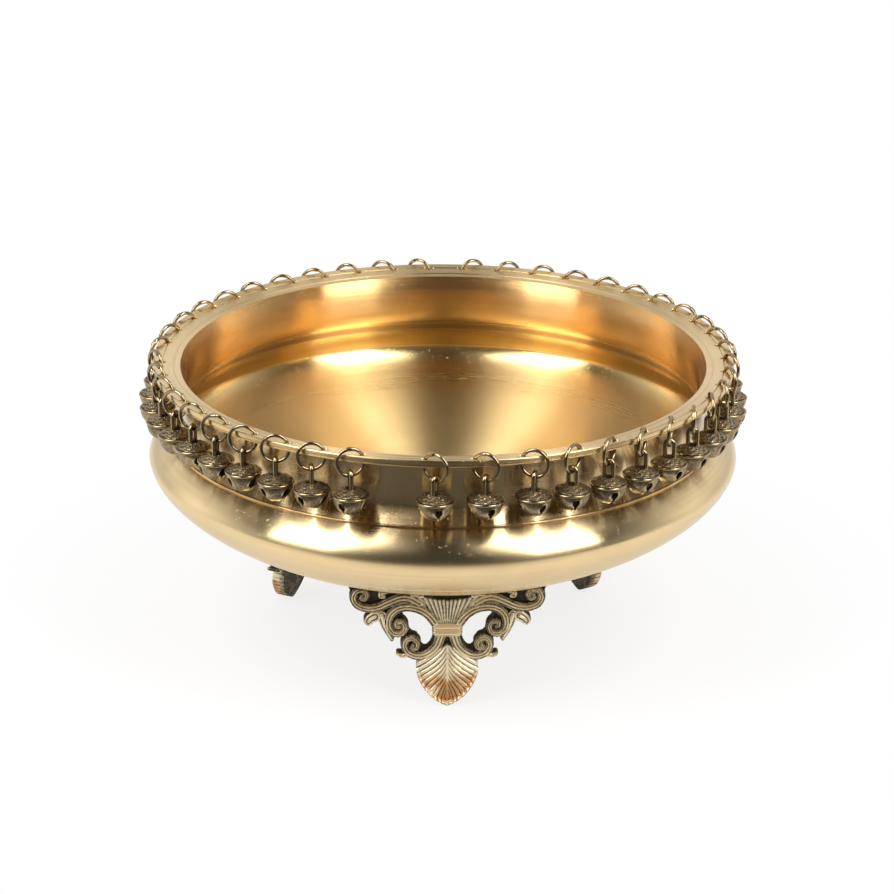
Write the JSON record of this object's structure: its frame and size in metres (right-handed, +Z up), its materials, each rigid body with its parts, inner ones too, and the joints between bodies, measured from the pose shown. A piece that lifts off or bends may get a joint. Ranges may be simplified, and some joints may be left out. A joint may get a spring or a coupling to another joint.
{
  "type": "brass urli bowl",
  "caption": "Wide turned brass bowl with a waisted neck and flat everted rim, on pierced scroll feet, hung all round the rim with small slit bells on wire rings.",
  "frame": {"origin": "on the bowl's axis, at the level of the pads under the three feet", "axes": "+Z up along the bowl's axis, -Y towards the front foot, +X to the right of someone facing that foot"},
  "size_m": [0.2609, 0.2604, 0.1314],
  "materials": {
    "polished_brass": "turned and polished bright brass with fine lathe lines",
    "antique_brass": "cast brass, darkened in the hollows and rubbed bright on the high parts",
    "pellet_iron": "dull iron shot"
  },
  "bodies": {
    "bowl": {"bowl": "polished_brass", "foot_front": "antique_brass", "foot_right": "antique_brass", "foot_left": "antique_brass"},
    "jump_ring_01": {"jump_ring_01": "antique_brass"},
    "bell_01": {"bell_01": "antique_brass"},
    "bell_pellet_01": {"bell_pellet_01": "pellet_iron"},
    "jump_ring_02": {"jump_ring_02": "antique_brass"},
    "bell_02": {"bell_02": "antique_brass"},
    "bell_pellet_02": {"bell_pellet_02": "pellet_iron"},
    "bell_on_ring_03": {"bell_on_ring_03": "antique_brass"},
    "bell_on_ring_04": {"bell_on_ring_04": "antique_brass"},
    "bell_on_ring_05": {"bell_on_ring_05": "antique_brass"},
    "bell_on_ring_06": {"bell_on_ring_06": "antique_brass"},
    "bell_on_ring_07": {"bell_on_ring_07": "antique_brass"},
    "bell_on_ring_08": {"bell_on_ring_08": "antique_brass"},
    "bell_on_ring_09": {"bell_on_ring_09": "antique_brass"},
    "bell_on_ring_10": {"bell_on_ring_10": "antique_brass"},
    "bell_on_ring_11": {"bell_on_ring_11": "antique_brass"},
    "bell_on_ring_12": {"bell_on_ring_12": "antique_brass"},
    "bell_on_ring_13": {"bell_on_ring_13": "antique_brass"},
    "bell_on_ring_14": {"bell_on_ring_14": "antique_brass"},
    "bell_on_ring_15": {"bell_on_ring_15": "antique_brass"},
    "bell_on_ring_16": {"bell_on_ring_16": "antique_brass"},
    "bell_on_ring_17": {"bell_on_ring_17": "antique_brass"},
    "bell_on_ring_18": {"bell_on_ring_18": "antique_brass"},
    "bell_on_ring_19": {"bell_on_ring_19": "antique_brass"},
    "bell_on_ring_20": {"bell_on_ring_20": "antique_brass"},
    "bell_on_ring_21": {"bell_on_ring_21": "antique_brass"},
    "bell_on_ring_22": {"bell_on_ring_22": "antique_brass"},
    "bell_on_ring_23": {"bell_on_ring_23": "antique_brass"},
    "bell_on_ring_24": {"bell_on_ring_24": "antique_brass"},
    "bell_on_ring_25": {"bell_on_ring_25": "antique_brass"},
    "bell_on_ring_26": {"bell_on_ring_26": "antique_brass"},
    "bell_on_ring_27": {"bell_on_ring_27": "antique_brass"},
    "bell_on_ring_28": {"bell_on_ring_28": "antique_brass"},
    "bell_on_ring_29": {"bell_on_ring_29": "antique_brass"},
    "bell_on_ring_30": {"bell_on_ring_30": "antique_brass"},
    "bell_on_ring_31": {"bell_on_ring_31": "antique_brass"},
    "bell_on_ring_32": {"bell_on_ring_32": "antique_brass"},
    "bell_on_ring_33": {"bell_on_ring_33": "antique_brass"},
    "bell_on_ring_34": {"bell_on_ring_34": "antique_brass"},
    "bell_on_ring_35": {"bell_on_ring_35": "antique_brass"},
    "bell_on_ring_36": {"bell_on_ring_36": "antique_brass"},
    "bell_on_ring_37": {"bell_on_ring_37": "antique_brass"},
    "bell_on_ring_38": {"bell_on_ring_38": "antique_brass"},
    "bell_on_ring_39": {"bell_on_ring_39": "antique_brass"},
    "bell_on_ring_40": {"bell_on_ring_40": "antique_brass"},
    "jump_ring_41": {"jump_ring_41": "antique_brass"},
    "bell_41": {"bell_41": "antique_brass"},
    "bell_pellet_41": {"bell_pellet_41": "pellet_iron"},
    "jump_ring_42": {"jump_ring_42": "antique_brass"},
    "bell_42": {"bell_42": "antique_brass"},
    "bell_pellet_42": {"bell_pellet_42": "pellet_iron"},
    "jump_ring_43": {"jump_ring_43": "antique_brass"},
    "bell_43": {"bell_43": "antique_brass"},
    "bell_pellet_43": {"bell_pellet_43": "pellet_iron"},
    "jump_ring_44": {"jump_ring_44": "antique_brass"},
    "bell_44": {"bell_44": "antique_brass"},
    "bell_pellet_44": {"bell_pellet_44": "pellet_iron"}
  },
  "joints": [
    {"name": "jump_ring_01_swing", "type": "hinge", "parent": "bowl", "child": "jump_ring_01", "pos_m": [-0.03104, -0.11643, 0.1267], "axis": [-0.9662, 0.2576, 0], "range_deg": [-3, 40]},
    {"name": "bell_01_swing", "type": "hinge", "parent": "jump_ring_01", "child": "bell_01", "pos_m": [-0.03625, -0.11784, 0.1196], "axis": [-0.9655, -0.2605, 0], "range_deg": [-3, 20]},
    {"name": "bell_pellet_01_rattle", "type": "slide", "parent": "bell_01", "child": "bell_pellet_01", "axis": [0, 0, 1], "range_m": [0, 0.0042]},
    {"name": "jump_ring_02_swing", "type": "hinge", "parent": "bowl", "child": "jump_ring_02", "pos_m": [-0.04658, -0.11113, 0.1267], "axis": [-0.9223, 0.3865, 0], "range_deg": [-3, 40]},
    {"name": "bell_02_swing", "type": "hinge", "parent": "jump_ring_02", "child": "bell_02", "pos_m": [-0.05193, -0.11182, 0.1196], "axis": [-0.9919, -0.1269, 0], "range_deg": [-3, 20]},
    {"name": "bell_pellet_02_rattle", "type": "slide", "parent": "bell_02", "child": "bell_pellet_02", "axis": [0, 0, 1], "range_m": [0, 0.0042]},
    {"name": "bell_on_ring_03_swing", "type": "hinge", "parent": "bowl", "child": "bell_on_ring_03", "pos_m": [-0.06125, -0.10377, 0.1267], "axis": [-0.8612, 0.5083, 0], "range_deg": [-3, 40]},
    {"name": "bell_on_ring_04_swing", "type": "hinge", "parent": "bowl", "child": "bell_on_ring_04", "pos_m": [-0.07479, -0.09448, 0.1267], "axis": [-0.7841, 0.6206, 0], "range_deg": [-3, 40]},
    {"name": "bell_on_ring_05_swing", "type": "hinge", "parent": "bowl", "child": "bell_on_ring_05", "pos_m": [-0.08693, -0.08344, 0.1267], "axis": [-0.6925, 0.7214, 0], "range_deg": [-3, 40]},
    {"name": "bell_on_ring_06_swing", "type": "hinge", "parent": "bowl", "child": "bell_on_ring_06", "pos_m": [-0.09747, -0.07086, 0.1267], "axis": [-0.588, 0.8089, 0], "range_deg": [-3, 40]},
    {"name": "bell_on_ring_07_swing", "type": "hinge", "parent": "bowl", "child": "bell_on_ring_07", "pos_m": [-0.10619, -0.05695, 0.1267], "axis": [-0.4726, 0.8813, 0], "range_deg": [-3, 40]},
    {"name": "bell_on_ring_08_swing", "type": "hinge", "parent": "bowl", "child": "bell_on_ring_08", "pos_m": [-0.11295, -0.04199, 0.1267], "axis": [-0.3485, 0.9373, 0], "range_deg": [-3, 40]},
    {"name": "bell_on_ring_09_swing", "type": "hinge", "parent": "bowl", "child": "bell_on_ring_09", "pos_m": [-0.11761, -0.02625, 0.1267], "axis": [-0.2178, 0.976, 0], "range_deg": [-3, 40]},
    {"name": "bell_on_ring_10_swing", "type": "hinge", "parent": "bowl", "child": "bell_on_ring_10", "pos_m": [-0.12008, -0.01002, 0.1267], "axis": [-0.0832, 0.9965, 0], "range_deg": [-3, 40]},
    {"name": "bell_on_ring_11_swing", "type": "hinge", "parent": "bowl", "child": "bell_on_ring_11", "pos_m": [-0.1195, 0.01546, 0.1267], "axis": [0.1283, 0.9917, 0], "range_deg": [-3, 40]},
    {"name": "bell_on_ring_12_swing", "type": "hinge", "parent": "bowl", "child": "bell_on_ring_12", "pos_m": [-0.11623, 0.0318, 0.1267], "axis": [0.2639, 0.9646, 0], "range_deg": [-3, 40]},
    {"name": "bell_on_ring_13_swing", "type": "hinge", "parent": "bowl", "child": "bell_on_ring_13", "pos_m": [-0.11073, 0.04753, 0.1267], "axis": [0.3944, 0.9189, 0], "range_deg": [-3, 40]},
    {"name": "bell_on_ring_14_swing", "type": "hinge", "parent": "bowl", "child": "bell_on_ring_14", "pos_m": [-0.10311, 0.06235, 0.1267], "axis": [0.5175, 0.8557, 0], "range_deg": [-3, 40]},
    {"name": "bell_on_ring_15_swing", "type": "hinge", "parent": "bowl", "child": "bell_on_ring_15", "pos_m": [-0.09352, 0.07598, 0.1267], "axis": [0.6306, 0.7761, 0], "range_deg": [-3, 40]},
    {"name": "bell_on_ring_16_swing", "type": "hinge", "parent": "bowl", "child": "bell_on_ring_16", "pos_m": [-0.08215, 0.08816, 0.1267], "axis": [0.7316, 0.6817, 0], "range_deg": [-3, 40]},
    {"name": "bell_on_ring_17_swing", "type": "hinge", "parent": "bowl", "child": "bell_on_ring_17", "pos_m": [-0.0692, 0.09865, 0.1267], "axis": [0.8187, 0.5743, 0], "range_deg": [-3, 40]},
    {"name": "bell_on_ring_18_swing", "type": "hinge", "parent": "bowl", "child": "bell_on_ring_18", "pos_m": [-0.05493, 0.10725, 0.1267], "axis": [0.8901, 0.4558, 0], "range_deg": [-3, 40]},
    {"name": "bell_on_ring_19_swing", "type": "hinge", "parent": "bowl", "child": "bell_on_ring_19", "pos_m": [-0.03961, 0.11381, 0.1267], "axis": [0.9444, 0.3287, 0], "range_deg": [-3, 40]},
    {"name": "bell_on_ring_20_swing", "type": "hinge", "parent": "bowl", "child": "bell_on_ring_20", "pos_m": [-0.02353, 0.11818, 0.1267], "axis": [0.9808, 0.1952, 0], "range_deg": [-3, 40]},
    {"name": "bell_on_ring_21_swing", "type": "hinge", "parent": "bowl", "child": "bell_on_ring_21", "pos_m": [-0.007, 0.1203, 0.1267], "axis": [0.9983, 0.0581, 0], "range_deg": [-3, 40]},
    {"name": "bell_on_ring_22_swing", "type": "hinge", "parent": "bowl", "child": "bell_on_ring_22", "pos_m": [0.00805, 0.12023, 0.1267], "axis": [0.9978, -0.0668, 0], "range_deg": [-3, 40]},
    {"name": "bell_on_ring_23_swing", "type": "hinge", "parent": "bowl", "child": "bell_on_ring_23", "pos_m": [0.0244, 0.118, 0.1267], "axis": [0.9793, -0.2025, 0], "range_deg": [-3, 40]},
    {"name": "bell_on_ring_24_swing", "type": "hinge", "parent": "bowl", "child": "bell_on_ring_24", "pos_m": [0.04029, 0.11356, 0.1267], "axis": [0.9424, -0.3344, 0], "range_deg": [-3, 40]},
    {"name": "bell_on_ring_25_swing", "type": "hinge", "parent": "bowl", "child": "bell_on_ring_25", "pos_m": [0.05543, 0.107, 0.1267], "axis": [0.8879, -0.46, 0], "range_deg": [-3, 40]},
    {"name": "bell_on_ring_26_swing", "type": "hinge", "parent": "bowl", "child": "bell_on_ring_26", "pos_m": [0.06953, 0.09842, 0.1267], "axis": [0.8168, -0.577, 0], "range_deg": [-3, 40]},
    {"name": "bell_on_ring_27_swing", "type": "hinge", "parent": "bowl", "child": "bell_on_ring_27", "pos_m": [0.08232, 0.088, 0.1267], "axis": [0.7303, -0.6832, 0], "range_deg": [-3, 40]},
    {"name": "bell_on_ring_28_swing", "type": "hinge", "parent": "bowl", "child": "bell_on_ring_28", "pos_m": [0.09357, 0.07592, 0.1267], "axis": [0.6301, -0.7765, 0], "range_deg": [-3, 40]},
    {"name": "bell_on_ring_29_swing", "type": "hinge", "parent": "bowl", "child": "bell_on_ring_29", "pos_m": [0.10307, 0.06243, 0.1267], "axis": [0.5181, -0.8553, 0], "range_deg": [-3, 40]},
    {"name": "bell_on_ring_30_swing", "type": "hinge", "parent": "bowl", "child": "bell_on_ring_30", "pos_m": [0.11063, 0.04776, 0.1267], "axis": [0.3964, -0.9181, 0], "range_deg": [-3, 40]},
    {"name": "bell_on_ring_31_swing", "type": "hinge", "parent": "bowl", "child": "bell_on_ring_31", "pos_m": [0.11612, 0.0322, 0.1267], "axis": [0.2672, -0.9636, 0], "range_deg": [-3, 40]},
    {"name": "bell_on_ring_32_swing", "type": "hinge", "parent": "bowl", "child": "bell_on_ring_32", "pos_m": [0.11943, 0.01603, 0.1267], "axis": [0.133, -0.9911, 0], "range_deg": [-3, 40]},
    {"name": "bell_on_ring_33_swing", "type": "hinge", "parent": "bowl", "child": "bell_on_ring_33", "pos_m": [0.1205, -0.00044, 0.1267], "axis": [-0.0036, -1, 0], "range_deg": [-3, 40]},
    {"name": "bell_on_ring_34_swing", "type": "hinge", "parent": "bowl", "child": "bell_on_ring_34", "pos_m": [0.11931, -0.0169, 0.1267], "axis": [-0.1402, -0.9901, 0], "range_deg": [-3, 40]},
    {"name": "bell_on_ring_35_swing", "type": "hinge", "parent": "bowl", "child": "bell_on_ring_35", "pos_m": [0.11588, -0.03304, 0.1267], "axis": [-0.2742, -0.9617, 0], "range_deg": [-3, 40]},
    {"name": "bell_on_ring_36_swing", "type": "hinge", "parent": "bowl", "child": "bell_on_ring_36", "pos_m": [0.11028, -0.04856, 0.1267], "axis": [-0.403, -0.9152, 0], "range_deg": [-3, 40]},
    {"name": "bell_on_ring_37_swing", "type": "hinge", "parent": "bowl", "child": "bell_on_ring_37", "pos_m": [0.10261, -0.06317, 0.1267], "axis": [-0.5243, -0.8516, 0], "range_deg": [-3, 40]},
    {"name": "bell_on_ring_38_swing", "type": "hinge", "parent": "bowl", "child": "bell_on_ring_38", "pos_m": [0.09302, -0.0766, 0.1267], "axis": [-0.6357, -0.7719, 0], "range_deg": [-3, 40]},
    {"name": "bell_on_ring_39_swing", "type": "hinge", "parent": "bowl", "child": "bell_on_ring_39", "pos_m": [0.08168, -0.08859, 0.1267], "axis": [-0.7352, -0.6779, 0], "range_deg": [-3, 40]},
    {"name": "bell_on_ring_40_swing", "type": "hinge", "parent": "bowl", "child": "bell_on_ring_40", "pos_m": [0.06881, -0.09892, 0.1267], "axis": [-0.8209, -0.5711, 0], "range_deg": [-3, 40]},
    {"name": "jump_ring_41_swing", "type": "hinge", "parent": "bowl", "child": "jump_ring_41", "pos_m": [0.05465, -0.10739, 0.1267], "axis": [-0.8912, -0.4535, 0], "range_deg": [-3, 40]},
    {"name": "bell_41_swing", "type": "hinge", "parent": "jump_ring_41", "child": "bell_41", "pos_m": [0.05171, -0.11192, 0.1196], "axis": [-0.5446, -0.8387, 0], "range_deg": [-3, 20]},
    {"name": "bell_pellet_41_rattle", "type": "slide", "parent": "bell_41", "child": "bell_pellet_41", "axis": [0, 0, 1], "range_m": [0, 0.0042]},
    {"name": "jump_ring_42_swing", "type": "hinge", "parent": "bowl", "child": "jump_ring_42", "pos_m": [0.03125, -0.11638, 0.1267], "axis": [-0.9658, -0.2593, 0], "range_deg": [-3, 40]},
    {"name": "bell_42_swing", "type": "hinge", "parent": "jump_ring_42", "child": "bell_42", "pos_m": [0.03646, -0.11778, 0.1196], "axis": [-0.9659, 0.2588, 0], "range_deg": [-3, 20]},
    {"name": "bell_pellet_42_rattle", "type": "slide", "parent": "bell_42", "child": "bell_pellet_42", "axis": [0, 0, 1], "range_m": [0, 0.0042]},
    {"name": "jump_ring_43_swing", "type": "hinge", "parent": "bowl", "child": "jump_ring_43", "pos_m": [0.01224, -0.11988, 0.1267], "axis": [-0.9948, -0.1016, 0], "range_deg": [-3, 40]},
    {"name": "bell_43_swing", "type": "hinge", "parent": "jump_ring_43", "child": "bell_43", "pos_m": [0.01716, -0.12209, 0.1196], "axis": [-0.9121, 0.4099, 0], "range_deg": [-3, 20]},
    {"name": "bell_pellet_43_rattle", "type": "slide", "parent": "bell_43", "child": "bell_pellet_43", "axis": [0, 0, 1], "range_m": [0, 0.0042]},
    {"name": "jump_ring_44_swing", "type": "hinge", "parent": "bowl", "child": "jump_ring_44", "pos_m": [-0.00709, -0.12029, 0.1267], "axis": [-0.9983, 0.0588, 0], "range_deg": [-3, 40]},
    {"name": "bell_44_swing", "type": "hinge", "parent": "jump_ring_44", "child": "bell_44", "pos_m": [-0.00258, -0.12326, 0.1196], "axis": [-0.8349, 0.5505, 0], "range_deg": [-3, 20]},
    {"name": "bell_pellet_44_rattle", "type": "slide", "parent": "bell_44", "child": "bell_pellet_44", "axis": [0, 0, 1], "range_m": [0, 0.0042]}
  ]
}
